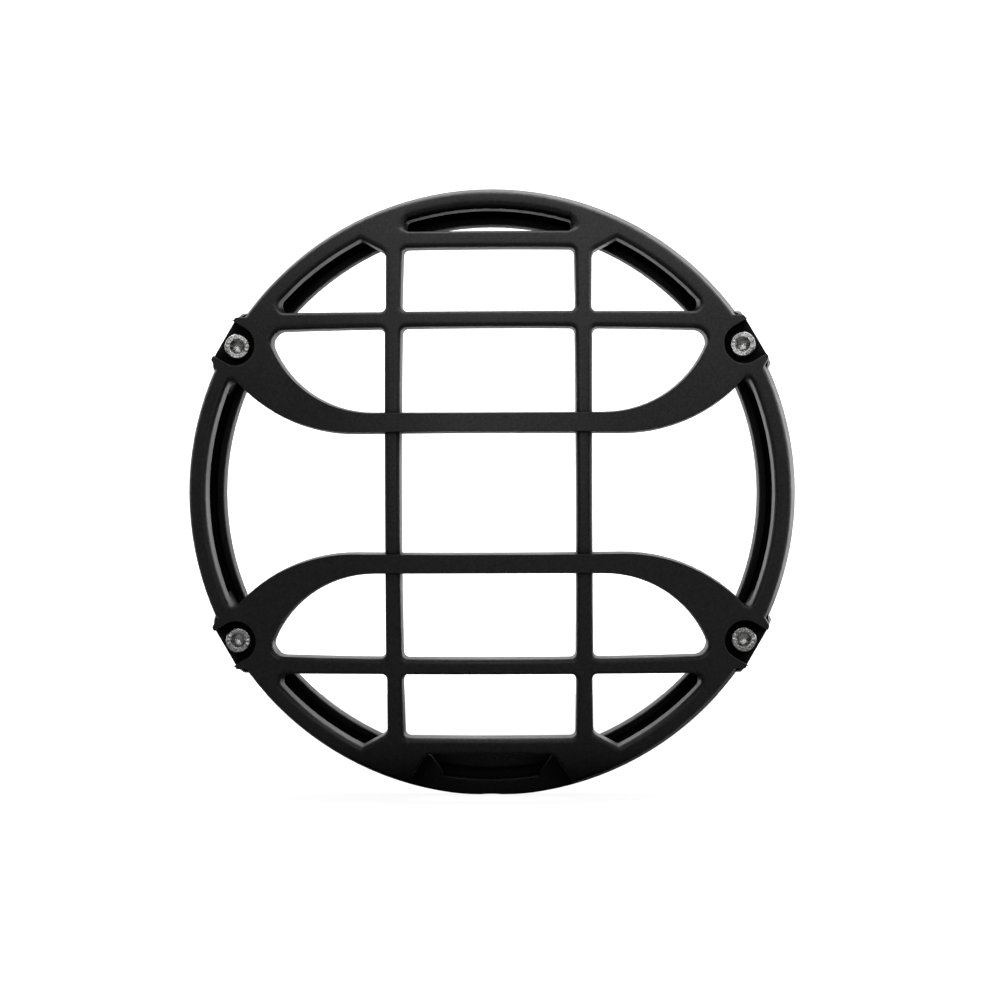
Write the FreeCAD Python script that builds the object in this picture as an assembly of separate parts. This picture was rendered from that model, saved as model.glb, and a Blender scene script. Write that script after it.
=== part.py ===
import FreeCAD, Part
import math
import os

# Round guard for a seven inch motorcycle headlight.
# The front faces -Y and +Z is up. The origin is the centre of the lamp opening, in the rear face.
# All lengths are in millimetres and all angles are in degrees.

# Rear ring and lamp opening
LAMP_BORE_R = 90.3
BORE_LAND = 1.6
LIP_TAPER_DEG = 14.0
FLANGE_THICKNESS = 3.0
BEAD_WIDTH = 2.8
BEAD_RISE = 1.4
BEAD_ROUND = 0.6
REAR_RING_DEPTH = 10.5
GUARD_DEPTH = 24.0
REAR_OUTER_R = 103.5
REAR_EDGE_ROUND = 0.8
WALL_DRAFT_DEG = 8.5
WALL_THICKNESS = 4.7

# Domed face of the grille
DOME_RISE = 18.0
DOME_RIM_R = 96.0
ARM_RISE = 1.25
BAR_DEPTH = 8.5
BAR_DRAFT_DEG = 2.5
BAND_OPENING_R = 94.6
RIM_ROUND = 1.8
EDGE_ROUND = 1.5
WINDOW_TRUE_R = 45.0

# Straight bars
BAR_WIDTH = 5.0
UPRIGHT_X = 31.3
RAIL_Z = 57.2
END_BAR_Z = 81.4
END_BAR_WIDTH = 5.2
CROSSING_ROUND = 1.8
GUSSET_DEG = 30.0
GUSSET_START_Z = 79.8
GUSSET_ROUND = 2.6
GUSSET_TIP_ROUND = 1.0
RAIL_END_ROUND = 2.6
CRESCENT_HALF_WIDTH = 27.6
CRESCENT_ROUND = 1.3
REBATE_DEPTH = 4.2

# Arms that sweep from side to side
ARM_INNER_Z = 19.8
ARM_WIDTH = 6.5
OUTER_SWEEP_R = 37.9
OUTER_SWEEP_X = 38.0
INNER_SWEEP_R = 54.0
INNER_SWEEP_X = 43.5
SAIL_ROUND = 4.0
HORN_ROUND = 2.0
ARM_END_X = 90.0
ARM_FADE_R = 86.0
CAP_INSET = 0.12

# Screws, inserts and the ears that hold them
SCREW_X = 84.5
SCREW_Z = 49.2
EAR_OUTER_R = 102.7
EAR_FLAT_WIDTH = 16.0
EAR_FLARE_DEG = 30.0
EAR_DRAFT_DEG = 4.0
EAR_CORNER_ROUND = 1.0
POCKET_R = 6.7
POCKET_WALL = 2.4
POCKET_FLOOR = 3.0
BOSS_MARGIN = 1.4
BOSS_R = 5.2
HEAD_R = 4.25
HEAD_HEIGHT = 5.0
HEAD_EDGE = 0.4
SOCKET_FLATS = 4.0
SOCKET_DEPTH = 2.6
SOCKET_LEAD = 0.3
SHANK_R = 2.5
SHANK_LENGTH = 10.0
SCREW_HOLE_CLEARANCE = 0.25
THREAD_CLEARANCE = 0.02
INSERT_R = 3.5
INSERT_LENGTH = 7.0
INSERT_CLEARANCE = 0.02
HOLE_SPARE = 1.0

# Notch at the bottom, in front of the clamping screw of the lamp
NOTCH_TOP_HALF = 20.9
NOTCH_FOOT_HALF = 26.2
NOTCH_ROUND = 2.5
CHEEK_HALF_GAP = 16.2
CHEEK_SLANT = 4.5
CHEEK_OUTER_X = 30.0
CHEEK_LOW_Z = 94.7
CHEEK_HIGH_Z = 88.5
SHELF_CLEARANCE = 0.2
WEB_Z = 86.0
FOOT_Z = 102.5
ARCH_HALF_WIDTH = 8.0
ARCH_RISE = 0.8

# Places worked out from the sizes above
FACE_Y = -GUARD_DEPTH
JOINT_Y = -REAR_RING_DEPTH
FLANGE_Y = -FLANGE_THICKNESS
DOME_R = (DOME_RIM_R ** 2 + DOME_RISE ** 2) / (2.0 * DOME_RISE)
WALL_SLOPE = math.tan(math.radians(WALL_DRAFT_DEG))
BAR_SLOPE = math.tan(math.radians(BAR_DRAFT_DEG))
CHANNEL_R = REAR_OUTER_R + JOINT_Y * WALL_SLOPE - WALL_THICKNESS
FRONT_Y = FACE_Y - DOME_RISE - ARM_RISE - EDGE_ROUND
REACH = 1.5 * REAR_OUTER_R
SEAM_DEG = 170.0
SCREW_R = math.hypot(SCREW_X, SCREW_Z)
SCREW_DEG = math.degrees(math.atan2(SCREW_Z, SCREW_X))
EAR_DEGS = (SCREW_DEG, 180.0 - SCREW_DEG, 180.0 + SCREW_DEG, -SCREW_DEG)
POCKET_Y = JOINT_Y - POCKET_FLOOR
SHELF_Y = -BORE_LAND - SHELF_CLEARANCE
UPRIGHT_IN = UPRIGHT_X - BAR_WIDTH / 2.0
UPRIGHT_OUT = UPRIGHT_X + BAR_WIDTH / 2.0
RAIL_IN = RAIL_Z - BAR_WIDTH / 2.0
RAIL_OUT = RAIL_Z + BAR_WIDTH / 2.0
ARM_OUTER_Z = ARM_INNER_Z + ARM_WIDTH
END_BAR_OUT = END_BAR_Z + END_BAR_WIDTH


def dome_y(r):
    """Depth of the domed face at distance r from the axis."""
    return FACE_Y - math.sqrt(DOME_R ** 2 - r ** 2) + math.sqrt(DOME_R ** 2 - DOME_RIM_R ** 2)


def wall_radius(y):
    """Outer radius of the drafted side wall at depth y."""
    return REAR_OUTER_R + y * WALL_SLOPE


def dome_ball(shift=0.0):
    """Ball whose front cap is the domed face, moved rearwards by shift."""
    return Part.makeSphere(DOME_R, FreeCAD.Vector(0, FACE_Y - DOME_RISE + DOME_R + shift, 0))


def round_bar(radius, y0, y1, x=0.0, z=0.0):
    """Cylinder along Y between two depths."""
    return Part.makeCylinder(radius, y1 - y0, FreeCAD.Vector(x, y0, z), FreeCAD.Vector(0, 1, 0))


def revolve(points):
    """Turn a closed outline of (radius, y) points round the Y axis."""
    corners = [FreeCAD.Vector(r, y, 0) for r, y in points]
    face = Part.Face(Part.makePolygon(corners + corners[:1]))
    return face.revolve(FreeCAD.Vector(0, 0, 0), FreeCAD.Vector(0, 1, 0), 360)


def side_cone(rear_y):
    """Solid cone inside the drafted side wall, from in front of the dome back to depth rear_y."""
    front_r = wall_radius(FRONT_Y)
    rear_r = wall_radius(rear_y)
    return revolve([(0.0, FRONT_Y), (front_r, FRONT_Y), (rear_r, rear_y), (0.0, rear_y)])


def circle_edge(shape, radius, y, x=0.0):
    """The round edge of a shape with this radius, at depth y, about the axis at x."""
    for edge in shape.Edges:
        if edge.Curve.TypeId == "Part::GeomCircle" and abs(edge.Curve.Radius - radius) < 1e-6:
            centre = edge.Curve.Center
            if abs(centre.y - y) < 1e-6 and abs(centre.x - x) < 1e-6:
                return edge
    raise ValueError("no round edge here")


def outline(points):
    """Flat face in the plane y = 0 from a closed run of (x, z) points."""
    corners = [FreeCAD.Vector(x, 0, z) for x, z in points]
    return Part.Face(Part.makePolygon(corners + corners[:1]))


def rectangle(x0, x1, z0, z1):
    """Flat rectangular face in the plane y = 0."""
    return outline([(x0, z0), (x1, z0), (x1, z1), (x0, z1)])


def disc(radius, x=0.0, z=0.0):
    """Flat round face in the plane y = 0."""
    circle = Part.makeCircle(radius, FreeCAD.Vector(x, 0, z), FreeCAD.Vector(0, 1, 0))
    circle.rotate(FreeCAD.Vector(x, 0, z), FreeCAD.Vector(0, 1, 0), SEAM_DEG)
    return Part.Face(Part.Wire(circle))


def single_face(shape):
    """The one face of a flat shape that a join or a cut has made."""
    return shape.removeSplitter().Faces[0]


def prism(face, y0, y1):
    """Straight solid from a flat face, between two depths."""
    moved = face.copy()
    moved.translate(FreeCAD.Vector(0, y0, 0))
    return moved.extrude(FreeCAD.Vector(0, y1 - y0, 0))


def distance_from(edge, x, z):
    """Distance of the middle of an edge from the line along Y through (x, z)."""
    middle = edge.CenterOfMass
    return math.hypot(middle.x - x, middle.z - z)


def drafted(face, true_y, y0, y1, slope, corners=()):
    """Solid from a flat face, as drawn at depth true_y and growing by slope towards the rear.

    Each corner is (x, z, radius) and rounds the long edge that passes nearest to it.
    """
    wires = []
    for y in (y0, y1):
        wire = face.OuterWire.makeOffset2D((y - true_y) * slope, join=2)
        wire.translate(FreeCAD.Vector(0, y, 0))
        wires.append(wire)
    block = Part.makeLoft(wires, True, True)
    for x, z, radius in corners:
        long_edges = [edge for edge in block.Edges if edge.BoundBox.YLength > 0.9 * (y1 - y0)]
        nearest = min(long_edges, key=lambda edge: distance_from(edge, x, z))
        block = block.makeFillet(radius, [nearest])
    return block


def window(face, r, corners=()):
    """Cutter for a window that closes in towards the rear. It is as drawn on the dome at radius r."""
    return drafted(face, dome_y(r), FRONT_Y, JOINT_Y, -BAR_SLOPE, corners)


def flipped(shape, across_x, across_z):
    """Mirror image of a shape left to right, top to bottom, or both."""
    origin = FreeCAD.Vector(0, 0, 0)
    if across_x:
        shape = shape.mirror(origin, FreeCAD.Vector(1, 0, 0))
    if across_z:
        shape = shape.mirror(origin, FreeCAD.Vector(0, 0, 1))
    return shape


def quarters(shape):
    """The same shape in all four quarters."""
    return [flipped(shape, x, z) for x in (False, True) for z in (False, True)]


def turned(shape, degrees):
    """Shape drawn for an ear at the right, turned about the Y axis to its own angle."""
    moved = shape.copy()
    moved.rotate(FreeCAD.Vector(0, 0, 0), FreeCAD.Vector(0, 1, 0), -degrees)
    return moved


def opening_disc(r):
    """Opening of the outer band, as it is at the depth of the dome at radius r."""
    return disc(BAND_OPENING_R + (FACE_Y - dome_y(r)) * BAR_SLOPE)


def side_edge_x(z):
    """Where the band opening crosses height z."""
    return math.sqrt(BAND_OPENING_R ** 2 - z ** 2)


def arc(radius, x, z, from_point, to_point):
    """Shorter arc of a circle about (x, z) between the rays to two (x, z) points, in y = 0."""
    first = math.atan2(from_point[1] - z, from_point[0] - x)
    last = math.atan2(to_point[1] - z, to_point[0] - x)
    angles = (first, (first + last) / 2.0, last)
    points = [FreeCAD.Vector(x + radius * math.cos(a), 0, z + radius * math.sin(a)) for a in angles]
    return Part.Arc(*points).toShape(), (points[0].x, points[0].z), (points[2].x, points[2].z)


def line(first, last):
    """Straight edge between two (x, z) points in y = 0."""
    return Part.makeLine(FreeCAD.Vector(first[0], 0, first[1]), FreeCAD.Vector(last[0], 0, last[1]))


def arm_strip(inset):
    """Upper arm from side to side as a flat face, narrower by inset at each edge."""
    outer_z = ARM_OUTER_Z + OUTER_SWEEP_R
    inner_z = ARM_INNER_Z + INNER_SWEEP_R
    outer_r = OUTER_SWEEP_R + inset
    inner_r = INNER_SWEEP_R - inset
    outer_end = (OUTER_SWEEP_X + math.sqrt(outer_r ** 2 - (outer_z - RAIL_Z) ** 2), RAIL_Z)
    inner_end = (ARM_END_X, inner_z - math.sqrt(inner_r ** 2 - (ARM_END_X - INNER_SWEEP_X) ** 2))
    edges = []
    for side in (1.0, -1.0):
        foot = (side * OUTER_SWEEP_X, ARM_OUTER_Z)
        tip = (side * outer_end[0], outer_end[1])
        edge, outer_foot, outer_tip = arc(outer_r, side * OUTER_SWEEP_X, outer_z, foot, tip)
        edges.append(edge)
        foot = (side * INNER_SWEEP_X, ARM_INNER_Z)
        tip = (side * inner_end[0], inner_end[1])
        edge, inner_foot, inner_tip = arc(inner_r, side * INNER_SWEEP_X, inner_z, foot, tip)
        edges.append(edge)
        corner = (side * ARM_END_X, outer_tip[1])
        edges.append(line(outer_tip, corner))
        edges.append(line(corner, inner_tip))
        edges.append(line((0.0, outer_foot[1]), outer_foot))
        edges.append(line((0.0, inner_foot[1]), inner_foot))
    return Part.Face(Part.Wire(Part.__sortEdges__(edges)))


def cut_by_arms(face):
    """Pieces of a flat face that the two arms leave, from the top one to the bottom one."""
    arm = arm_strip(0.0)
    rest = face.cut(arm).cut(flipped(arm, False, True))
    return sorted(rest.Faces, key=lambda piece: -piece.CenterOfMass.z)


def inner_windows():
    """Windows between the uprights and the rails: one above, one between and one below the arms."""
    face = rectangle(-UPRIGHT_IN, UPRIGHT_IN, -RAIL_IN, RAIL_IN)
    top, middle, _ = cut_by_arms(face)
    corners = [(x, RAIL_IN, CROSSING_ROUND) for x in (-UPRIGHT_IN, UPRIGHT_IN)]
    top = window(top, WINDOW_TRUE_R, corners)
    return [window(middle, WINDOW_TRUE_R), top, flipped(top, False, True)]


def outer_windows():
    """Windows outside the uprights: four shaped like sails and one at each side between the arms."""
    face = rectangle(UPRIGHT_OUT, REACH, -RAIL_IN, RAIL_IN)
    face = single_face(face.common(opening_disc(WINDOW_TRUE_R)))
    sail, side, _ = cut_by_arms(face)
    tip = (sail.BoundBox.XMax, RAIL_IN, SAIL_ROUND)
    sail = window(sail, WINDOW_TRUE_R, [(UPRIGHT_OUT, RAIL_IN, CROSSING_ROUND), tip])
    horn_z = side.BoundBox.ZMax
    horns = [(math.sqrt(BAND_OPENING_R ** 2 - horn_z ** 2), z, HORN_ROUND) for z in (horn_z, -horn_z)]
    side = window(side, WINDOW_TRUE_R, horns)
    return quarters(sail) + [side, flipped(side, True, False)]


def end_windows():
    """Windows between the uprights, above the upper rail and below the lower one."""
    face = rectangle(-UPRIGHT_IN, UPRIGHT_IN, RAIL_OUT, END_BAR_Z)
    corners = [(x, z, CROSSING_ROUND) for x in (-UPRIGHT_IN, UPRIGHT_IN) for z in (RAIL_OUT, END_BAR_Z)]
    top = window(face, (RAIL_OUT + END_BAR_Z) / 2.0, corners)
    return [top, flipped(top, False, True)]


def corner_windows():
    """Three sided windows outside the uprights, beyond the rails."""
    middle_r = math.hypot(UPRIGHT_OUT, (RAIL_OUT + GUSSET_START_Z) / 2.0)
    gusset_z = GUSSET_START_Z + math.tan(math.radians(GUSSET_DEG)) * (REACH - UPRIGHT_OUT)
    face = outline([(UPRIGHT_OUT, RAIL_OUT), (REACH, RAIL_OUT), (REACH, gusset_z),
                    (UPRIGHT_OUT, GUSSET_START_Z)])
    face = single_face(face.common(opening_disc(middle_r)))
    corners = [(UPRIGHT_OUT, RAIL_OUT, CROSSING_ROUND),
               (UPRIGHT_OUT, GUSSET_START_Z, GUSSET_ROUND),
               (side_edge_x(face.BoundBox.ZMax), face.BoundBox.ZMax, GUSSET_TIP_ROUND),
               (side_edge_x(RAIL_OUT), RAIL_OUT, RAIL_END_ROUND)]
    return quarters(window(face, middle_r, corners))


def crescent_window():
    """Slot above the top bar."""
    half = CRESCENT_HALF_WIDTH
    face = single_face(rectangle(-half, half, END_BAR_OUT, REACH).common(opening_disc(END_BAR_OUT)))
    high_z = math.sqrt(BAND_OPENING_R ** 2 - half ** 2)
    corners = [(x, z, CRESCENT_ROUND) for x in (-half, half) for z in (END_BAR_OUT, high_z)]
    return window(face, END_BAR_OUT, corners)


def notch_cutter(limit):
    """Notch below the bottom bar, inside a flat limit: the band opening, or far beyond it."""
    flare = (NOTCH_FOOT_HALF - NOTCH_TOP_HALF) / (BAND_OPENING_R - END_BAR_OUT)
    foot = NOTCH_TOP_HALF + flare * (REACH - END_BAR_OUT)
    face = outline([(-NOTCH_TOP_HALF, -END_BAR_OUT), (NOTCH_TOP_HALF, -END_BAR_OUT),
                    (foot, -REACH), (-foot, -REACH)])
    corners = [(x, -END_BAR_OUT, NOTCH_ROUND) for x in (-NOTCH_TOP_HALF, NOTCH_TOP_HALF)]
    return window(single_face(face.common(limit)), END_BAR_OUT, corners)


def front_face(shape):
    """Largest domed face that lies on the front ball."""
    domed = [face for face in shape.Faces if face.Surface.TypeId == "Part::GeomSphere"]
    return max(domed, key=lambda face: face.Area)


def plate():
    """Domed plate with all its windows, rounded along every front edge."""
    body = side_cone(JOINT_Y).common(dome_ball())
    body = body.makeFillet(RIM_ROUND, front_face(body).OuterWire.Edges)
    cutters = inner_windows() + outer_windows() + end_windows() + corner_windows()
    body = body.cut(cutters + [crescent_window(), notch_cutter(opening_disc(END_BAR_OUT))])
    front = front_face(body)
    edges = []
    for wire in front.Wires:
        if not wire.isSame(front.OuterWire):
            edges.extend(wire.Edges)
    return body.makeFillet(EDGE_ROUND, edges)


def arm_cap():
    """Front of the upper arm, which stands proud of the dome and fades out beside the band."""
    strip = drafted(arm_strip(CAP_INSET), dome_y(WINDOW_TRUE_R), FRONT_Y, JOINT_Y, BAR_SLOPE)
    top_y = FACE_Y - DOME_RISE - ARM_RISE
    drop = dome_y(ARM_FADE_R) - top_y
    radius = (ARM_FADE_R ** 2 + drop ** 2) / (2.0 * drop)
    ball = Part.makeSphere(radius, FreeCAD.Vector(0, top_y + radius, 0))
    cap = strip.common(ball).cut(dome_ball(BAR_DEPTH / 2.0))
    return cap.makeFillet(EDGE_ROUND, front_face(cap).OuterWire.Edges)


def ear(margin, y0, y1):
    """Ear at the right on the X axis, between two depths, as a solid that grows rearwards."""
    half = EAR_FLAT_WIDTH / 2.0 + margin
    flare = math.tan(math.radians(EAR_FLARE_DEG)) * (EAR_OUTER_R - BAND_OPENING_R)
    face = outline([(EAR_OUTER_R, -half), (EAR_OUTER_R, half), (BAND_OPENING_R, half + flare),
                    (BAND_OPENING_R, -half - flare)])
    corners = [(EAR_OUTER_R, z, EAR_CORNER_ROUND) for z in (half, -half)]
    return drafted(face, FACE_Y, y0, y1, math.tan(math.radians(EAR_DRAFT_DEG)), corners)


def pocket():
    """Open pocket round the screw head and the hole below it, as a cutter."""
    cup = round_bar(POCKET_R, FRONT_Y, POCKET_Y, SCREW_R)
    mouth = prism(rectangle(SCREW_R, REACH, -POCKET_R, POCKET_R), FRONT_Y, POCKET_Y)
    hole = round_bar(SHANK_R + SCREW_HOLE_CLEARANCE, FRONT_Y, 0.0, SCREW_R)
    return cup.fuse([mouth, hole])


def at_ears(shape):
    """Copies of a shape drawn at the right on the X axis, one for each of the four ears."""
    return [turned(shape, degrees) for degrees in EAR_DEGS]


def front_grille():
    """Front grille: one moulding with the band, the bars, the arms and the ears."""
    body = plate()
    hollow = round_bar(BAND_OPENING_R, FRONT_Y, JOINT_Y).common(dome_ball(BAR_DEPTH))
    rebate = round_bar(CHANNEL_R, JOINT_Y - REBATE_DEPTH, JOINT_Y)
    body = body.cut([hollow, rebate])
    column = round_bar(POCKET_R + POCKET_WALL, FACE_Y, JOINT_Y, SCREW_R).common(side_cone(JOINT_Y))
    lug = ear(0.0, FRONT_Y, JOINT_Y).fuse(column).common(dome_ball())
    cap = arm_cap()
    body = body.fuse(at_ears(lug) + [cap, flipped(cap, False, True)])
    everywhere = rectangle(-REACH, REACH, -REACH, REACH)
    return body.cut(at_ears(pocket()) + [notch_cutter(everywhere)])


def rear_ring():
    """Rear ring: one moulding with the side wall, the flange, the lip, the bosses and the foot."""
    lip_y = FLANGE_Y - BEAD_RISE
    lip_r = LAMP_BORE_R + (-BORE_LAND - lip_y) * math.tan(math.radians(LIP_TAPER_DEG))
    bead_r = lip_r + BEAD_WIDTH
    body = revolve([(LAMP_BORE_R, 0.0), (REAR_OUTER_R, 0.0), (wall_radius(JOINT_Y), JOINT_Y),
                    (CHANNEL_R, JOINT_Y), (CHANNEL_R, FLANGE_Y), (bead_r, FLANGE_Y), (bead_r, lip_y),
                    (lip_r, lip_y), (LAMP_BORE_R, -BORE_LAND)])
    body = body.makeFillet(REAR_EDGE_ROUND, [circle_edge(body, REAR_OUTER_R, 0.0)])
    body = body.makeFillet(BEAD_ROUND, [circle_edge(body, r, lip_y) for r in (lip_r, bead_r)])
    boss = ear(BOSS_MARGIN, JOINT_Y, -REAR_EDGE_ROUND)
    boss = boss.fuse(round_bar(BOSS_R, JOINT_Y, -REAR_EDGE_ROUND, SCREW_R))
    cheek = prism(outline([(CHEEK_HALF_GAP, -REACH), (CHEEK_HALF_GAP, -CHEEK_LOW_Z),
                           (CHEEK_HALF_GAP + CHEEK_SLANT, -CHEEK_HIGH_Z), (CHEEK_OUTER_X, -CHEEK_HIGH_Z),
                           (CHEEK_OUTER_X, -REACH)]), JOINT_Y, SHELF_Y).common(side_cone(0.0))
    web = rectangle(-REACH, REACH, -REACH, -WEB_Z).common(disc(lip_r + BEAD_WIDTH / 2.0))
    web = prism(single_face(web), lip_y, SHELF_Y)
    body = body.fuse(at_ears(boss) + [cheek, flipped(cheek, True, False), web])
    arch_r = (ARCH_HALF_WIDTH ** 2 + ARCH_RISE ** 2) / (2.0 * ARCH_RISE)
    arch = round_bar(arch_r, JOINT_Y, 0.0, 0.0, ARCH_RISE - FOOT_Z - arch_r)
    ground = prism(rectangle(-REACH, REACH, -REACH, -FOOT_Z), JOINT_Y, 0.0)
    shank_end_y = POCKET_Y + SHANK_LENGTH
    hole = round_bar(INSERT_R + INSERT_CLEARANCE, JOINT_Y, JOINT_Y + INSERT_LENGTH, SCREW_R)
    hole = hole.fuse(round_bar(SHANK_R + SCREW_HOLE_CLEARANCE, JOINT_Y, shank_end_y + HOLE_SPARE, SCREW_R))
    return body.cut(at_ears(hole) + [arch, ground])


def mounting_screws():
    """Four socket head screws, with their heads on the pocket floors."""
    head_y = POCKET_Y - HEAD_HEIGHT
    head = round_bar(HEAD_R, head_y, POCKET_Y, SCREW_R)
    head = head.makeFillet(HEAD_EDGE, [circle_edge(head, HEAD_R, head_y, SCREW_R)])
    end_y = POCKET_Y + SHANK_LENGTH
    shank = round_bar(SHANK_R, POCKET_Y, end_y, SCREW_R)
    shank = shank.makeChamfer(HEAD_EDGE, [circle_edge(shank, SHANK_R, end_y, SCREW_R)])
    corner_r = SOCKET_FLATS / math.sqrt(3.0)
    angles = [math.radians(60.0 * k) for k in range(6)]
    corners = [(SCREW_R + corner_r * math.cos(a), corner_r * math.sin(a)) for a in angles]
    socket = prism(outline(corners), head_y, head_y + SOCKET_DEPTH)
    lead = Part.makeCone(corner_r + SOCKET_LEAD, corner_r - SOCKET_LEAD, 2.0 * SOCKET_LEAD,
                         FreeCAD.Vector(SCREW_R, head_y, 0), FreeCAD.Vector(0, 1, 0))
    screw = head.fuse(shank).cut([socket, lead])
    return Part.makeCompound(at_ears(screw))


def threaded_inserts():
    """Four brass inserts, set in the bosses of the rear ring and flush with their front."""
    body = round_bar(INSERT_R, JOINT_Y, JOINT_Y + INSERT_LENGTH, SCREW_R)
    bore = round_bar(SHANK_R + THREAD_CLEARANCE, JOINT_Y, JOINT_Y + INSERT_LENGTH, SCREW_R)
    return Part.makeCompound(at_ears(body.cut(bore)))


def main():
    """Build every piece and write it to its own file."""
    os.makedirs("parts", exist_ok=True)
    for piece in (front_grille, rear_ring, mounting_screws, threaded_inserts):
        shape = piece()
        shape.exportStep("parts/" + piece.__name__ + ".step")
        print(piece.__name__, len(shape.Solids), "solids, valid:", shape.isValid(), round(shape.Volume))


main()
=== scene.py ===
"""Dressed scene of a round headlight guard: satin black mouldings with bright socket head screws."""
import logging
import math
from dataclasses import dataclass, field
from enum import Enum
from typing import Callable, Dict, List, Sequence, Tuple

import bmesh
import bpy
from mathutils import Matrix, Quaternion, Vector

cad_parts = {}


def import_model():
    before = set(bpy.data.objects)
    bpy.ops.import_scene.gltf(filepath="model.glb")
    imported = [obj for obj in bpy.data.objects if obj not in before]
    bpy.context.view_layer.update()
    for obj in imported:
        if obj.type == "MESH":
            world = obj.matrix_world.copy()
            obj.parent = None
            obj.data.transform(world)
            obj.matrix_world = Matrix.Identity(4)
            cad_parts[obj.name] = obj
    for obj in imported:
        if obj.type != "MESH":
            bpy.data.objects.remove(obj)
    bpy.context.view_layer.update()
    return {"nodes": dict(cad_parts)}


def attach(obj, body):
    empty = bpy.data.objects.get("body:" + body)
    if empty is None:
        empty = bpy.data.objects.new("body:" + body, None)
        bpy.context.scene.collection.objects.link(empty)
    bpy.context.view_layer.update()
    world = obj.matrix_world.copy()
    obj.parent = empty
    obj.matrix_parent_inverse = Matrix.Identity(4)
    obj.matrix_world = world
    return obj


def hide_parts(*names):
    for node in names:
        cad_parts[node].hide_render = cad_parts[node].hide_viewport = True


LOG = logging.getLogger("headlight_guard")

METRES_PER_MM = 0.001
MM_PER_METRE = 1000.0
FULL_TURN_DEG = 360.0
HALF_TURN_DEG = 180.0
HEX_SIDES = 6

# Places of the sockets that share a name on one node.
MIX_FACTOR = 0
MIX_FIRST = 6
MIX_SECOND = 7
MIX_RESULT = 2
RANDOM_LARGEST = 3
RANDOM_RESULT = 1

# Most of a noise's values lie between these two.
NOISE_MIDDLE = (0.3, 0.7)

Colour = Tuple[float, float, float]
Ring = List[Tuple[float, float, float]]
Span = Tuple[float, float]


class Side(Enum):
    """Side of the object on which a studio lamp stands."""

    ABOVE = "above"
    LEFT = "left"
    RIGHT = "right"
    FRONT = "front"
    CAMERA = "camera"


def rgba(colour: Colour) -> Tuple[float, float, float, float]:
    """Return the colour with full opacity."""
    return (colour[0], colour[1], colour[2], 1.0)


@dataclass(frozen=True)
class Noise:
    """One noise texture: its scale per metre, its octaves and the weight of the finer ones."""

    scale: float
    detail: float
    roughness: float


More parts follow.
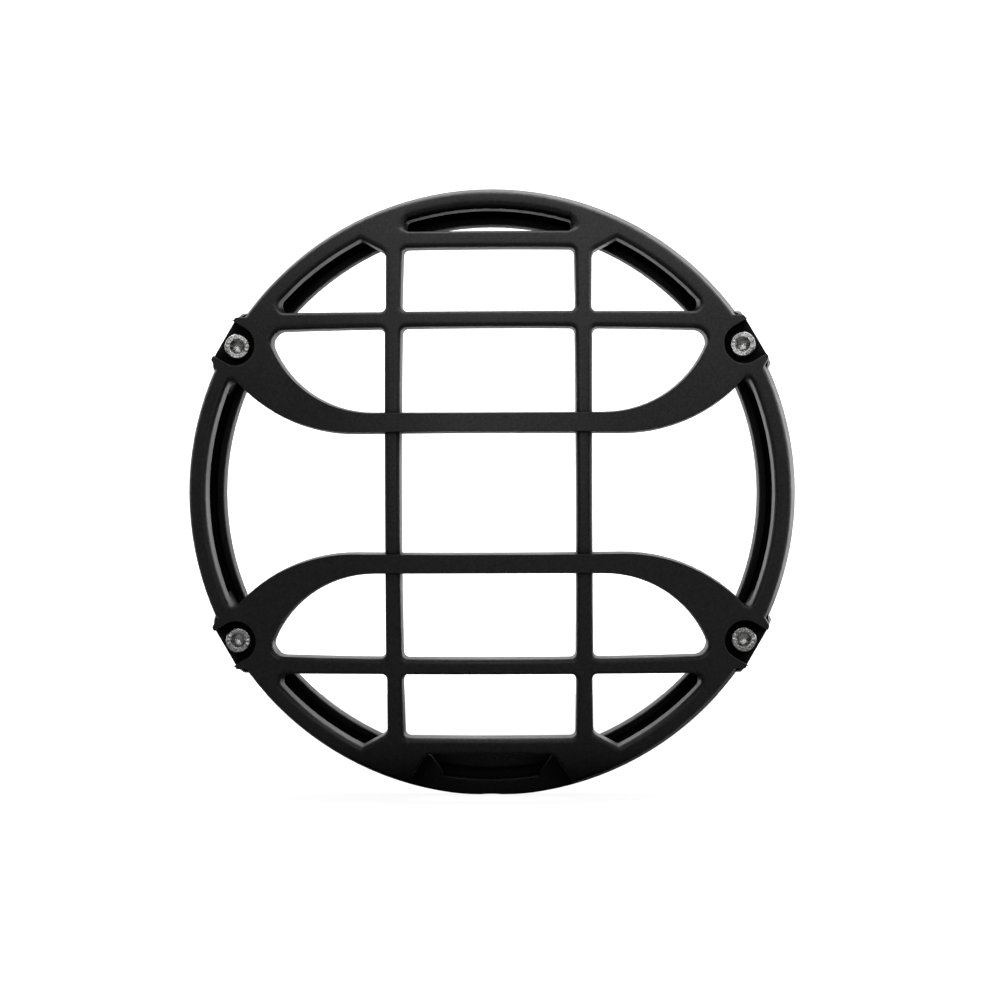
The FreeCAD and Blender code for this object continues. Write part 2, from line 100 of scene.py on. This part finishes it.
class NodeBuilder:
    """Small helper that adds and links nodes of one material."""

    EDGE_SAMPLES = 6
    RECESS_SAMPLES = 8
    RELIEF_STRENGTH = 0.5

    def __init__(self, name: str) -> None:
        """Start an empty node material.

        Args:
            name: Name of the material.
        """
        self.material = bpy.data.materials.new(name)
        self.material.use_nodes = True
        self.tree = self.material.node_tree
        self.tree.nodes.clear()
        self.coords = self.add("ShaderNodeTexCoord")

    def add(self, kind: str, **values: object) -> bpy.types.Node:
        """Add a node and set its properties.

        Args:
            kind: Node type name.
            values: Properties of the node.

        Returns:
            The new node.
        """
        node = self.tree.nodes.new(kind)
        for key, value in values.items():
            setattr(node, key, value)
        return node

    def link(self, source: bpy.types.NodeSocket, target: bpy.types.NodeSocket) -> None:
        """Join two sockets."""
        self.tree.links.new(source, target)

    def noise(self, size: Noise) -> bpy.types.NodeSocket:
        """Add a noise texture on Object coordinates.

        Args:
            size: Sizes of the noise.

        Returns:
            The noise's value socket.
        """
        node = self.add("ShaderNodeTexNoise")
        node.inputs["Scale"].default_value = size.scale
        node.inputs["Detail"].default_value = size.detail
        node.inputs["Roughness"].default_value = size.roughness
        self.link(self.coords.outputs["Object"], node.inputs["Vector"])
        return node.outputs["Fac"]

    def remap(self, source: bpy.types.NodeSocket, given: Span, wanted: Span) -> bpy.types.NodeSocket:
        """Map one range of values onto another.

        Args:
            source: Value socket.
            given: Low and high end of the source.
            wanted: Values at those two ends.

        Returns:
            The mapped socket.
        """
        node = self.add("ShaderNodeMapRange")
        for name, value in zip(("From Min", "From Max", "To Min", "To Max"), given + wanted):
            node.inputs[name].default_value = value
        self.link(source, node.inputs["Value"])
        return node.outputs["Result"]

    def spread(self, source: bpy.types.NodeSocket, wanted: Span) -> bpy.types.NodeSocket:
        """Map the middle of a noise onto a range."""
        return self.remap(source, NOISE_MIDDLE, wanted)

    def blend(self, factor: bpy.types.NodeSocket, first: Colour, second: Colour) -> bpy.types.NodeSocket:
        """Blend two colours by a factor.

        Args:
            factor: Socket between 0 and 1.
            first: Colour at 0.
            second: Colour at 1.

        Returns:
            The blended colour socket.
        """
        node = self.add("ShaderNodeMix", data_type="RGBA")
        node.inputs[MIX_FIRST].default_value = rgba(first)
        node.inputs[MIX_SECOND].default_value = rgba(second)
        self.link(factor, node.inputs[MIX_FACTOR])
        return node.outputs[MIX_RESULT]

    def darken(self, colour: bpy.types.NodeSocket, factor: bpy.types.NodeSocket) -> bpy.types.NodeSocket:
        """Multiply a colour by a factor.

        Args:
            colour: Colour socket.
            factor: Socket between 0 and 1.

        Returns:
            The darkened colour socket.
        """
        node = self.add("ShaderNodeMix", data_type="RGBA", blend_type="MULTIPLY")
        node.inputs[MIX_FACTOR].default_value = 1.0
        self.link(colour, node.inputs[MIX_FIRST])
        self.link(factor, node.inputs[MIX_SECOND])
        return node.outputs[MIX_RESULT]

    def scaled(self, source: bpy.types.NodeSocket, times: float) -> bpy.types.NodeSocket:
        """Multiply a value by a number.

        Args:
            source: Value socket.
            times: The number.

        Returns:
            The scaled socket.
        """
        node = self.add("ShaderNodeMath", operation="MULTIPLY")
        node.inputs[1].default_value = times
        self.link(source, node.inputs[0])
        return node.outputs[0]

    def total(self, first: bpy.types.NodeSocket, second: bpy.types.NodeSocket) -> bpy.types.NodeSocket:
        """Add two values.

        Args:
            first: One value socket.
            second: The other value socket.

        Returns:
            The socket with their sum.
        """
        node = self.add("ShaderNodeMath", operation="ADD")
        self.link(first, node.inputs[0])
        self.link(second, node.inputs[1])
        return node.outputs[0]

    def relief(self, height: bpy.types.NodeSocket, depth: float, edge_round: float) -> bpy.types.NodeSocket:
        """Add fine relief from a height, over edges that look slightly rounded.

        Args:
            height: Height socket.
            depth: Depth of the relief in metres.
            edge_round: Radius of the rounding of sharp edges, in metres.

        Returns:
            The normal socket.
        """
        edges = self.add("ShaderNodeBevel", samples=self.EDGE_SAMPLES)
        edges.inputs["Radius"].default_value = edge_round
        node = self.add("ShaderNodeBump")
        node.inputs["Distance"].default_value = depth
        node.inputs["Strength"].default_value = self.RELIEF_STRENGTH
        self.link(height, node.inputs["Height"])
        self.link(edges.outputs["Normal"], node.inputs["Normal"])
        return node.outputs["Normal"]

    def openness(self, reach: float) -> bpy.types.NodeSocket:
        """Add a value that is 1 on an open face and falls towards 0 deep in a recess.

        Args:
            reach: Distance in metres over which walls count.

        Returns:
            The value socket.
        """
        node = self.add("ShaderNodeAmbientOcclusion", samples=self.RECESS_SAMPLES)
        node.inputs["Distance"].default_value = reach
        return node.outputs["AO"]

    def surface(self, shader: bpy.types.NodeSocket) -> None:
        """Join the shader to the material's output."""
        self.link(shader, self.add("ShaderNodeOutputMaterial").inputs["Surface"])


@dataclass(frozen=True)
class MouldedPlastic:
    """Satin black moulded plastic with a fine spark-eroded grain, and painted shade that darkens it and
    dims its shine deep in a recess.
    """

    name: str = "satin_black_moulding"
    dark: Colour = (0.008, 0.008, 0.0083)
    light: Colour = (0.028, 0.028, 0.0285)
    roughness: Span = (0.40, 0.50)
    shine: float = 0.5
    grain: Noise = Noise(1300.0, 3.0, 0.6)
    flow: Noise = Noise(45.0, 4.0, 0.5)
    grain_depth: float = 0.0001
    edge_round: float = 0.0004
    # Painted shade: ambient occlusion over this reach darkens the colour and the shine in recesses.
    painted_shade_reach: float = 0.02
    painted_shade_openness: Span = (0.45, 0.95)
    painted_shade_tone: Span = (0.12, 1.0)

    def material(self) -> bpy.types.Material:
        """Build the material.

        Returns:
            The node material.
        """
        build = NodeBuilder(self.name)
        grain = build.noise(self.grain)
        flow = build.noise(self.flow)
        colour = build.blend(build.spread(grain, (0.0, 1.0)), self.dark, self.light)
        # Painted shade: the colour and the shine get darker deep in a recess, by ambient occlusion.
        tone = build.remap(build.openness(self.painted_shade_reach), self.painted_shade_openness, self.painted_shade_tone)
        shader = build.add("ShaderNodeBsdfPrincipled")
        build.link(build.darken(colour, tone), shader.inputs["Base Color"])
        build.link(build.scaled(tone, self.shine), shader.inputs["Specular IOR Level"])
        build.link(build.spread(flow, self.roughness), shader.inputs["Roughness"])
        build.link(build.relief(grain, self.grain_depth, self.edge_round), shader.inputs["Normal"])
        build.surface(shader.outputs["BSDF"])
        return build.material


@dataclass(frozen=True)
class TurnedMetal:
    """Machined metal with faint tool marks and small stains."""

    name: str
    bright: Colour
    dull: Colour
    roughness: Span
    marks: Noise = Noise(1300.0, 4.0, 0.6)
    stains: Noise = Noise(520.0, 3.0, 0.55)
    mark_depth: float = 0.00025
    edge_round: float = 0.0001

    def material(self) -> bpy.types.Material:
        """Build the material.

        Returns:
            The node material.
        """
        build = NodeBuilder(self.name)
        marks = build.noise(self.marks)
        stains = build.noise(self.stains)
        colour = build.blend(build.spread(stains, (0.0, 1.0)), self.bright, self.dull)
        shader = build.add("ShaderNodeBsdfPrincipled")
        shader.inputs["Metallic"].default_value = 1.0
        build.link(colour, shader.inputs["Base Color"])
        build.link(build.spread(marks, self.roughness), shader.inputs["Roughness"])
        build.link(build.relief(marks, self.mark_depth, self.edge_round), shader.inputs["Normal"])
        build.surface(shader.outputs["BSDF"])
        return build.material


@dataclass(frozen=True)
class StudioSheet:
    """White sheet that stays white to the camera, and in reflections where it stands behind."""

    name: str
    tone: float
    glow: float
    in_reflections: bool
    fibre: Noise = Noise(40.0, 2.0, 0.5)
    fibre_shade: float = 0.99

    def material(self) -> bpy.types.Material:
        """Build the material.

        Returns:
            The node material.
        """
        build = NodeBuilder(self.name)
        low = self.tone * self.fibre_shade
        diffuse = build.add("ShaderNodeBsdfDiffuse")
        colour = build.blend(build.noise(self.fibre), (low, low, low), (self.tone, self.tone, self.tone))
        build.link(colour, diffuse.inputs["Color"])
        path = build.add("ShaderNodeLightPath")
        seen = path.outputs["Is Camera Ray"]
        if self.in_reflections:
            for name in ("Is Glossy Ray", "Is Transmission Ray"):
                seen = build.total(seen, path.outputs[name])
        glow = build.add("ShaderNodeEmission")
        build.link(build.scaled(seen, self.glow), glow.inputs["Strength"])
        both = build.add("ShaderNodeAddShader")
        build.link(diffuse.outputs["BSDF"], both.inputs[0])
        build.link(glow.outputs["Emission"], both.inputs[1])
        build.surface(both.outputs["Shader"])
        return build.material


@dataclass(frozen=True)
class SlotRounding:
    """Broader rounding for the front edge of the top slot. Sizes are in millimetres.

    The edge's points lie above lowest_z, in front of rear_y, within widest_x and within outer_r, and
    not between the slot's own walls. The rounding grows from rim_r along the rim and from end_x at the
    two ends, and it gets deeper over fade_height from fade_z upwards.
    """

    lowest_z: float = 84.9
    rear_y: float = -22.5
    widest_x: float = 30.0
    outer_r: float = 96.9
    wall_r: float = 94.4
    wall_x: float = 27.4
    fade_z: float = 86.6
    fade_height: float = 1.3
    depth_gain: float = 0.9
    rim_r: float = 94.65
    rim_gain: float = 0.93
    end_x: float = 27.62
    end_gain: float = 1.5
    dome_r: float = 265.0
    dome_centre_y: float = 223.0

    def dome_y(self, radius: float) -> float:
        """Return the depth of the domed face at a distance from the axis."""
        return self.dome_centre_y - math.sqrt(self.dome_r ** 2 - radius ** 2)

    def on_edge(self, x: float, y: float, z: float) -> bool:
        """Tell whether a point of the grille belongs to the edge of the slot.

        Args:
            x: Place to the right.
            y: Place to the rear.
            z: Place upwards.

        Returns:
            True on the edge.
        """
        radius = math.hypot(x, z)
        if z < self.lowest_z or y > self.rear_y or abs(x) > self.widest_x or radius > self.outer_r:
            return False
        return radius >= self.wall_r or abs(x) >= self.wall_x

    def shape(self, mesh: bpy.types.Mesh) -> None:
        """Spread the edge of the slot over the rim and over the two ends.

        Args:
            mesh: Merged mesh of the grille.
        """
        for vertex in mesh.vertices:
            x, y, z = vertex.co * MM_PER_METRE
            if not self.on_edge(x, y, z):
                continue
            radius = math.hypot(x, z)
            height = min(max((z - self.fade_z) / self.fade_height, 0.0), 1.0)
            drop = (y - self.dome_y(radius)) * (1.0 + self.depth_gain * height)
            radius += self.rim_gain * max(radius - self.rim_r, 0.0)
            wide = abs(x) + self.end_gain * max(abs(x) - self.end_x, 0.0)
            high = math.sqrt(radius ** 2 - wide ** 2) if radius > self.rim_r else z
            front = self.dome_y(math.hypot(wide, high)) + drop
            vertex.co = Vector((math.copysign(wide, x), front, high)) * METRES_PER_MM


@dataclass(frozen=True)
class BossFlare:
    """Slope for the two sides of each boss, so that they start flush with the ear. Sizes are in metres.

    A side's front points lie in front of front_y, beyond side_reach along the boss's own direction,
    between two offsets across it, and outside the side wall of the ring.
    """

    boss_deg: float = 30.21
    front_y: float = -0.0104
    side_reach: float = 0.1005
    side_offsets: Span = (0.0075, 0.0135)
    wall_r: float = 0.10205
    shift: float = 0.0014

    def shape(self, mesh: bpy.types.Mesh) -> None:
        """Move the front points of the sides of all four bosses inwards.

        Args:
            mesh: Merged mesh of the ring.
        """
        right = (self.boss_deg, -self.boss_deg)
        for degrees in right + tuple(HALF_TURN_DEG - turn for turn in right):
            outward = Vector((math.cos(math.radians(degrees)), 0.0, math.sin(math.radians(degrees))))
            self.slope(mesh, outward)

    def slope(self, mesh: bpy.types.Mesh, outward: Vector) -> None:
        """Move the front points of the sides of one boss inwards.

        Args:
            mesh: Merged mesh of the ring.
            outward: Direction from the axis to the boss.
        """
        along = Vector((-outward.z, 0.0, outward.x))
        nearest, farthest = self.side_offsets
        for vertex in mesh.vertices:
            offset = vertex.co.dot(along)
            if vertex.co.y >= self.front_y or vertex.co.dot(outward) <= self.side_reach:
                continue
            if nearest < abs(offset) < farthest and math.hypot(vertex.co.x, vertex.co.z) > self.wall_r:
                vertex.co -= along * math.copysign(self.shift, offset)


@dataclass
class Moulding:
    """One plastic moulding, taken from its own CAD node with smooth rounded edges."""

    node: str
    slot: str
    finish: bpy.types.Material
    reshape: Callable[[bpy.types.Mesh], None]
    merge_distance: float = 1e-6
    crease_deg: float = 32.0
    join_deg: float = 24.0

    def normals(self, mesh: bpy.types.Mesh) -> List[Tuple[float, float, float]]:
        """Work out a normal for each corner, led by the large faces that meet there.

        A narrow rounding takes its end normals from the broad faces beside it, so that the broad
        faces stay even.

        Args:
            mesh: Merged mesh of the moulding.

        Returns:
            One normal for each corner.
        """
        limit = math.cos(math.radians(self.join_deg))
        around: List[List[int]] = [[] for _ in mesh.vertices]
        for face in mesh.polygons:
            for index in face.vertices:
                around[index].append(face.index)
        facing = [face.normal.copy() for face in mesh.polygons]
        area = [face.area for face in mesh.polygons]
        result = [(0.0, 0.0, 1.0)] * len(mesh.loops)
        for face in mesh.polygons:
            own = facing[face.index]
            for corner in face.loop_indices:
                total = Vector((0.0, 0.0, 0.0))
                for other in around[mesh.loops[corner].vertex_index]:
                    if facing[other].dot(own) > limit:
                        total += facing[other] * area[other]
                total.normalize()
                result[corner] = tuple(total)
        return result

    def merged_copy(self, source: bpy.types.Mesh) -> bpy.types.Mesh:
        """Copy the CAD mesh and merge its loose triangles.

        Args:
            source: Mesh of the CAD node, which stays as it is.

        Returns:
            The merged copy.
        """
        mesh = source.copy()
        mesh.name = self.node + "_dressed"
        work = bmesh.new()
        work.from_mesh(mesh)
        bmesh.ops.remove_doubles(work, verts=work.verts, dist=self.merge_distance)
        work.to_mesh(mesh)
        work.free()
        return mesh

    def build(self, nodes: Dict[str, bpy.types.Object]) -> bpy.types.Object:
        """Make the dressed moulding and hide its CAD node.

        Args:
            nodes: CAD nodes by name.

        Returns:
            The new object.
        """
        mesh = self.merged_copy(nodes[self.node].data)
        self.reshape(mesh)
        mesh.shade_smooth()
        mesh.set_sharp_from_angle(angle=math.radians(self.crease_deg))
        mesh.normals_split_custom_set(self.normals(mesh))
        mesh.materials.clear()
        mesh.materials.append(self.finish)
        piece = bpy.data.objects.new(self.node + "_dressed", mesh)
        bpy.context.scene.collection.objects.link(piece)
        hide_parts(self.node)
        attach(piece, "root")
        LOG.info("%s: %d faces", piece.name, len(mesh.polygons))
        return piece


@dataclass
class SocketScrews:
    """Socket head screws, one in each ear pocket. Sizes are in millimetres.

    A pair in drill_cone is a radius and a depth below the socket's floor, in socket_rim a radius and a
    depth below the top, in top_edge an inset from the side and a depth below the top, and in
    under_edge an inset from the side and a height above the underside.
    """

    finish: bpy.types.Material
    seat_y: float = -13.5
    places: Span = (84.5, 49.2)
    head_r: float = 4.25
    head_height: float = 5.0
    socket_flats: float = 4.0
    socket_depth: float = 2.5
    floor_round: Span = (0.12, 0.15)
    socket_top: float = 0.45
    drill_cone: Tuple[Span, ...] = ((0.05, 0.55), (1.44, 0.3))
    socket_rim: Tuple[Span, ...] = ((2.4, 0.14), (2.5, 0.02), (2.56, 0.0))
    top_edge: Tuple[Span, ...] = ((0.52, 0.0), (0.34, 0.04), (0.16, 0.16), (0.06, 0.34), (0.03, 0.55))
    under_edge: Tuple[Span, ...] = ((0.12, 0.4), (0.3, 0.0))
    knurl_ends: Span = (0.75, 0.6)
    knurl_depth: float = 0.12
    tick_insets: Span = (1.5, 0.57)
    tick_slope: float = 0.05
    tick_height: float = 0.14
    tick_every: int = 6
    tick_width: int = 3
    tick_reach: float = 0.8
    shank_r: float = 2.5
    shank_length: float = 10.0
    tip_chamfer: float = 0.4
    tip_centre_r: float = 0.05
    segments: int = 96
    crease_deg: float = 35.0
    largest_turn_deg: float = 60.0
    seed: int = 7
    rings: List[Ring] = field(default_factory=list)

    def ring(self, radii: Sequence[float], depth: float, ticks: float = 0.0) -> None:
        """Add one ring of the screw.

        Args:
            radii: Radius at each segment.
            depth: Distance behind the top of the head.
            ticks: Height of the plain ticks at two sides of the head.
        """
        row = []
        for k, radius in enumerate(radii):
            angle = 2.0 * math.pi * k / self.segments
            raised = k % self.tick_every < self.tick_width and abs(math.cos(angle)) > self.tick_reach
            front = depth - (ticks if raised else 0.0)
            row.append((radius * math.cos(angle), front, radius * math.sin(angle)))
        self.rings.append(row)

    def circle(self, radius: float, depth: float, ticks: float = 0.0) -> None:
        """Add one plain round ring."""
        self.ring([radius] * self.segments, depth, ticks)

    def hexagon(self, grow: float, depth: float) -> None:
        """Add one six sided ring.

        Args:
            grow: How far it lies outside the flats of the socket.
            depth: Distance behind the top of the head.
        """
        half = self.socket_flats / 2.0 + grow
        side = FULL_TURN_DEG / HEX_SIDES
        radii = []
        for k in range(self.segments):
            turn = (FULL_TURN_DEG * k / self.segments) % side - side / 2.0
            radii.append(half / math.cos(math.radians(turn)))
        self.ring(radii, depth)

    def knurl(self, depth: float) -> None:
        """Add one ring with the fine grooves of the head's side."""
        self.ring([self.head_r - self.knurl_depth * (k % 2) for k in range(self.segments)], depth)

    def add_socket(self) -> None:
        """Add the rings of the socket, from the middle of its floor to its rim."""
        for radius, below in self.drill_cone:
            self.circle(radius, self.socket_depth + below)
        inset, rise = self.floor_round
        self.hexagon(-inset, self.socket_depth)
        self.hexagon(0.0, self.socket_depth - rise)
        self.hexagon(0.0, self.socket_top)
        for radius, depth in self.socket_rim:
            self.circle(radius, depth)

    def add_head(self) -> None:
        """Add the rings of the head: its face with the ticks, rounded edge, side and underside."""
        inner = self.head_r - self.tick_insets[0]
        outer = self.head_r - self.tick_insets[1]
        self.circle(inner, 0.0)
        self.circle(inner + self.tick_slope, 0.0, self.tick_height)
        self.circle(outer - self.tick_slope, 0.0, self.tick_height)
        self.circle(outer, 0.0)
        for inset, depth in self.top_edge:
            self.circle(self.head_r - inset, depth)
        self.knurl(self.knurl_ends[0])
        self.knurl(self.head_height - self.knurl_ends[1])
        for inset, above in self.under_edge:
            self.circle(self.head_r - inset, self.head_height - above)

    def add_shank(self) -> None:
        """Add the rings of the shank with its chamfered tip."""
        end = self.head_height + self.shank_length
        self.circle(self.shank_r, self.head_height)
        self.circle(self.shank_r, end - self.tip_chamfer)
        self.circle(self.shank_r - self.tip_chamfer, end)
        self.circle(self.tip_centre_r, end)

    def screw_mesh(self) -> bpy.types.Mesh:
        """Build one screw along +Y with the top of its head at the origin.

        Returns:
            The screw's mesh, in metres.
        """
        self.rings.clear()
        self.add_socket()
        self.add_head()
        self.add_shank()
        work = bmesh.new()
        rows = [[work.verts.new(Vector(point) * METRES_PER_MM) for point in row] for row in self.rings]
        for inner, outer in zip(rows, rows[1:]):
            for k in range(self.segments):
                near = (k + 1) % self.segments
                work.faces.new((inner[k], inner[near], outer[near], outer[k]))
        work.faces.new(rows[0])
        work.faces.new(list(reversed(rows[-1])))
        bmesh.ops.recalc_face_normals(work, faces=work.faces)
        mesh = bpy.data.meshes.new("socket_screw")
        work.to_mesh(mesh)
        work.free()
        mesh.shade_smooth()
        mesh.set_sharp_from_angle(angle=math.radians(self.crease_deg))
        return mesh

    def tree(self) -> bpy.types.NodeTree:
        """Build the node tree that puts a screw on each point, each turned its own way.

        Returns:
            The geometry node tree.
        """
        tree = bpy.data.node_groups.new("screws_in_pockets", "GeometryNodeTree")
        sockets = tree.interface
        sockets.new_socket("Geometry", in_out="INPUT", socket_type="NodeSocketGeometry")
        sockets.new_socket("Screw", in_out="INPUT", socket_type="NodeSocketObject")
        sockets.new_socket("Largest Turn", in_out="INPUT", socket_type="NodeSocketFloat")
        sockets.new_socket("Seed", in_out="INPUT", socket_type="NodeSocketInt")
        sockets.new_socket("Finish", in_out="INPUT", socket_type="NodeSocketMaterial")
        sockets.new_socket("Geometry", in_out="OUTPUT", socket_type="NodeSocketGeometry")
        nodes, links = tree.nodes, tree.links
        given = nodes.new("NodeGroupInput")
        info = nodes.new("GeometryNodeObjectInfo")
        turn = nodes.new("FunctionNodeRandomValue")
        turn.data_type = "FLOAT"
        euler = nodes.new("ShaderNodeCombineXYZ")
        place = nodes.new("GeometryNodeInstanceOnPoints")
        real = nodes.new("GeometryNodeRealizeInstances")
        dress = nodes.new("GeometryNodeSetMaterial")
        result = nodes.new("NodeGroupOutput")
        links.new(given.outputs["Screw"], info.inputs["Object"])
        links.new(given.outputs["Largest Turn"], turn.inputs[RANDOM_LARGEST])
        links.new(given.outputs["Seed"], turn.inputs["Seed"])
        links.new(turn.outputs[RANDOM_RESULT], euler.inputs["Y"])
        links.new(given.outputs["Geometry"], place.inputs["Points"])
        links.new(info.outputs["Geometry"], place.inputs["Instance"])
        links.new(euler.outputs["Vector"], place.inputs["Rotation"])
        links.new(place.outputs["Instances"], real.inputs["Geometry"])
        links.new(real.outputs["Geometry"], dress.inputs["Geometry"])
        links.new(given.outputs["Finish"], dress.inputs["Material"])
        links.new(dress.outputs["Geometry"], result.inputs["Geometry"])
        return tree

    def seats(self) -> bpy.types.Mesh:
        """Make one point for each screw, where the top of its head is.

        Returns:
            A mesh with four points, in metres.
        """
        x, z = (place * METRES_PER_MM for place in self.places)
        y = (self.seat_y - self.head_height) * METRES_PER_MM
        points = bpy.data.meshes.new("screw_points")
        points.from_pydata([(side * x, y, level * z) for side in (1, -1) for level in (1, -1)], [], [])
        return points

    def build(self) -> bpy.types.Object:
        """Make the four screws as one plain mesh and hide their CAD node.

        Returns:
            The new object.
        """
        model = bpy.data.objects.new("one_screw", self.screw_mesh())
        holder = bpy.data.objects.new("screw_holder", self.seats())
        bpy.context.scene.collection.objects.link(model)
        bpy.context.scene.collection.objects.link(holder)
        modifier = holder.modifiers.new("screws", "NODES")
        modifier.node_group = self.tree()
        values = {
            "Screw": model,
            "Largest Turn": math.radians(self.largest_turn_deg),
            "Seed": self.seed,
            "Finish": self.finish,
        }
        for item in modifier.node_group.interface.items_tree:
            if item.in_out == "INPUT" and item.name in values:
                modifier[item.identifier] = values[item.name]
        bpy.context.view_layer.update()
        shown = holder.evaluated_get(bpy.context.evaluated_depsgraph_get())
        mesh = bpy.data.meshes.new_from_object(shown)
        mesh.name = "mounting_screws_dressed"
        holder.modifiers.remove(modifier)
        bpy.data.objects.remove(holder)
        bpy.data.objects.remove(model)
        piece = bpy.data.objects.new("mounting_screws_dressed", mesh)
        bpy.context.scene.collection.objects.link(piece)
        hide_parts("mounting_screws")
        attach(piece, "root")
        LOG.info("%s: %d faces", piece.name, len(mesh.polygons))
        return piece


@dataclass
class ThreadedInserts:
    """Brass inserts, kept as the CAD has them."""

    finish: bpy.types.Material

    def build(self, nodes: Dict[str, bpy.types.Object]) -> bpy.types.Object:
        """Give the inserts their finish.

        Args:
            nodes: CAD nodes by name.

        Returns:
            The CAD object.
        """
        piece = nodes["threaded_inserts"]
        for holder in piece.material_slots:
            holder.material = self.finish
        LOG.info("%s: kept with a brass finish", piece.name)
        return piece


@dataclass(frozen=True)
class Lamp:
    """One soft rectangular studio lamp that points at the middle of the object."""

    side: Side
    place: Tuple[float, float, float]
    size: Span
    power: float

    def build(self) -> bpy.types.Object:
        """Make the lamp.

        Returns:
            The light object.
        """
        light = bpy.data.lights.new("softbox_" + self.side.value, "AREA")
        light.shape = "RECTANGLE"
        light.size, light.size_y = self.size
        light.energy = self.power
        lamp = bpy.data.objects.new(light.name, light)
        lamp.location = self.place
        lamp.rotation_euler = (-Vector(self.place)).to_track_quat("-Z", "Y").to_euler()
        bpy.context.scene.collection.objects.link(lamp)
        return lamp


@dataclass
class Studio:
    """White sweep, soft lamps and the camera at the photograph's angle. Sizes are in metres."""

    floor: StudioSheet = StudioSheet("pale_floor", tone=0.16, glow=0.94, in_reflections=False)
    backdrop: StudioSheet = StudioSheet("white_backdrop", tone=0.8, glow=0.94, in_reflections=True)
    floor_z: float = -0.1025
    backdrop_y: float = 0.9
    half_width: float = 4.0
    front_y: float = -1.5
    height: float = 4.0
    bend: float = 0.5
    bend_steps: int = 12
    lamps: Tuple[Lamp, ...] = (
        Lamp(Side.ABOVE, place=(0.0, 0.1, 1.0), size=(1.8, 0.5), power=13.0),
        Lamp(Side.FRONT, place=(0.12, -1.1, 0.9), size=(1.5, 0.9), power=3.3),
        Lamp(Side.CAMERA, place=(0.0, -1.0, 0.2), size=(0.4, 0.25), power=0.6),
        Lamp(Side.LEFT, place=(-1.2, 0.1, 0.3), size=(0.4, 1.0), power=1.5),
        Lamp(Side.RIGHT, place=(1.2, 0.1, 0.4), size=(0.5, 1.0), power=5.5),
    )
    surroundings: Colour = (1.0, 1.0, 1.0)
    surroundings_strength: float = 0.075
    camera_distance: float = 0.85
    face_y: float = -0.024
    azimuth_deg: float = 1.5
    elevation_deg: float = 0.3
    roll_deg: float = -0.2
    focal_px: float = 2560.0
    image_px: float = 990.0
    centre_px: Span = (489.4, 492.7)
    sensor_mm: float = 36.0
    nearest_view: float = 0.01

    def sheet(self, name: str, profile: Sequence[Span], finish: StudioSheet) -> bpy.types.Object:
        """Make one wide sheet from its side profile.

        Args:
            name: Name of the sheet.
            profile: Points of the profile as (y, z).
            finish: Finish of the sheet.

        Returns:
            The sheet.
        """
        work = bmesh.new()
        edges = (-self.half_width, self.half_width)
        rows = [[work.verts.new((x, y, z)) for x in edges] for y, z in profile]
        for low, high in zip(rows, rows[1:]):
            work.faces.new((low[0], low[1], high[1], high[0]))
        mesh = bpy.data.meshes.new(name)
        work.to_mesh(mesh)
        work.free()
        mesh.shade_smooth()
        mesh.materials.append(finish.material())
        sheet = bpy.data.objects.new(name, mesh)
        bpy.context.scene.collection.objects.link(sheet)
        return sheet

    def sheets(self) -> None:
        """Make the floor and the bent backdrop behind it."""
        bend_y = self.backdrop_y - self.bend
        self.sheet("floor", [(self.front_y, self.floor_z), (bend_y, self.floor_z)], self.floor)
        profile = []
        for k in range(self.bend_steps + 1):
            angle = math.pi / 2.0 * k / self.bend_steps
            rise = self.bend * (1.0 - math.cos(angle))
            profile.append((bend_y + self.bend * math.sin(angle), self.floor_z + rise))
        profile.append((self.backdrop_y, self.height))
        self.sheet("backdrop", profile, self.backdrop)

    def lights(self) -> None:
        """Place the soft lamps and the dim surroundings."""
        for lamp in self.lamps:
            lamp.build()
        world = bpy.data.worlds.new("studio")
        world.use_nodes = True
        shade = world.node_tree.nodes["Background"]
        shade.inputs["Color"].default_value = rgba(self.surroundings)
        shade.inputs["Strength"].default_value = self.surroundings_strength
        bpy.context.scene.world = world

    def camera(self) -> bpy.types.Object:
        """Place the camera.

        Returns:
            The camera object.
        """
        azimuth, elevation = math.radians(self.azimuth_deg), math.radians(self.elevation_deg)
        level = math.cos(elevation)
        back = Vector((math.sin(azimuth) * level, -math.cos(azimuth) * level, math.sin(elevation)))
        data = bpy.data.cameras.new("camera")
        data.sensor_width = self.sensor_mm
        data.lens = self.sensor_mm * self.focal_px / self.image_px
        data.shift_x = (self.image_px / 2.0 - self.centre_px[0]) / self.image_px
        data.shift_y = (self.centre_px[1] - self.image_px / 2.0) / self.image_px
        data.clip_start = self.nearest_view
        camera = bpy.data.objects.new("camera", data)
        camera.location = Vector((0.0, self.face_y, 0.0)) + back * self.camera_distance
        roll = Quaternion((0.0, 0.0, 1.0), math.radians(self.roll_deg))
        camera.rotation_euler = ((-back).to_track_quat("-Z", "Y") @ roll).to_euler()
        bpy.context.scene.collection.objects.link(camera)
        bpy.context.scene.camera = camera
        return camera

    def build(self) -> None:
        """Make the whole studio."""
        self.sheets()
        self.lights()
        self.camera()
        bpy.context.scene.view_settings.view_transform = "Standard"
        LOG.info("studio ready")


def main() -> None:
    """Dress each piece of the guard and set up the studio."""
    logging.basicConfig(level=logging.INFO, format="%(message)s")
    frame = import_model()
    plastic = MouldedPlastic().material()
    steel = TurnedMetal(
        "bright_screw_steel", bright=(0.82, 0.82, 0.81), dull=(0.5, 0.5, 0.5), roughness=(0.16, 0.32)
    ).material()
    brass = TurnedMetal(
        "insert_brass", bright=(0.78, 0.58, 0.28), dull=(0.6, 0.42, 0.2), roughness=(0.3, 0.42)
    ).material()
    Moulding("front_grille", "grille", plastic, SlotRounding().shape).build(frame["nodes"])
    Moulding("rear_ring", "ring", plastic, BossFlare().shape).build(frame["nodes"])
    SocketScrews(steel).build()
    ThreadedInserts(brass).build(frame["nodes"])
    Studio().build()


if __name__ == "__main__":
    main()
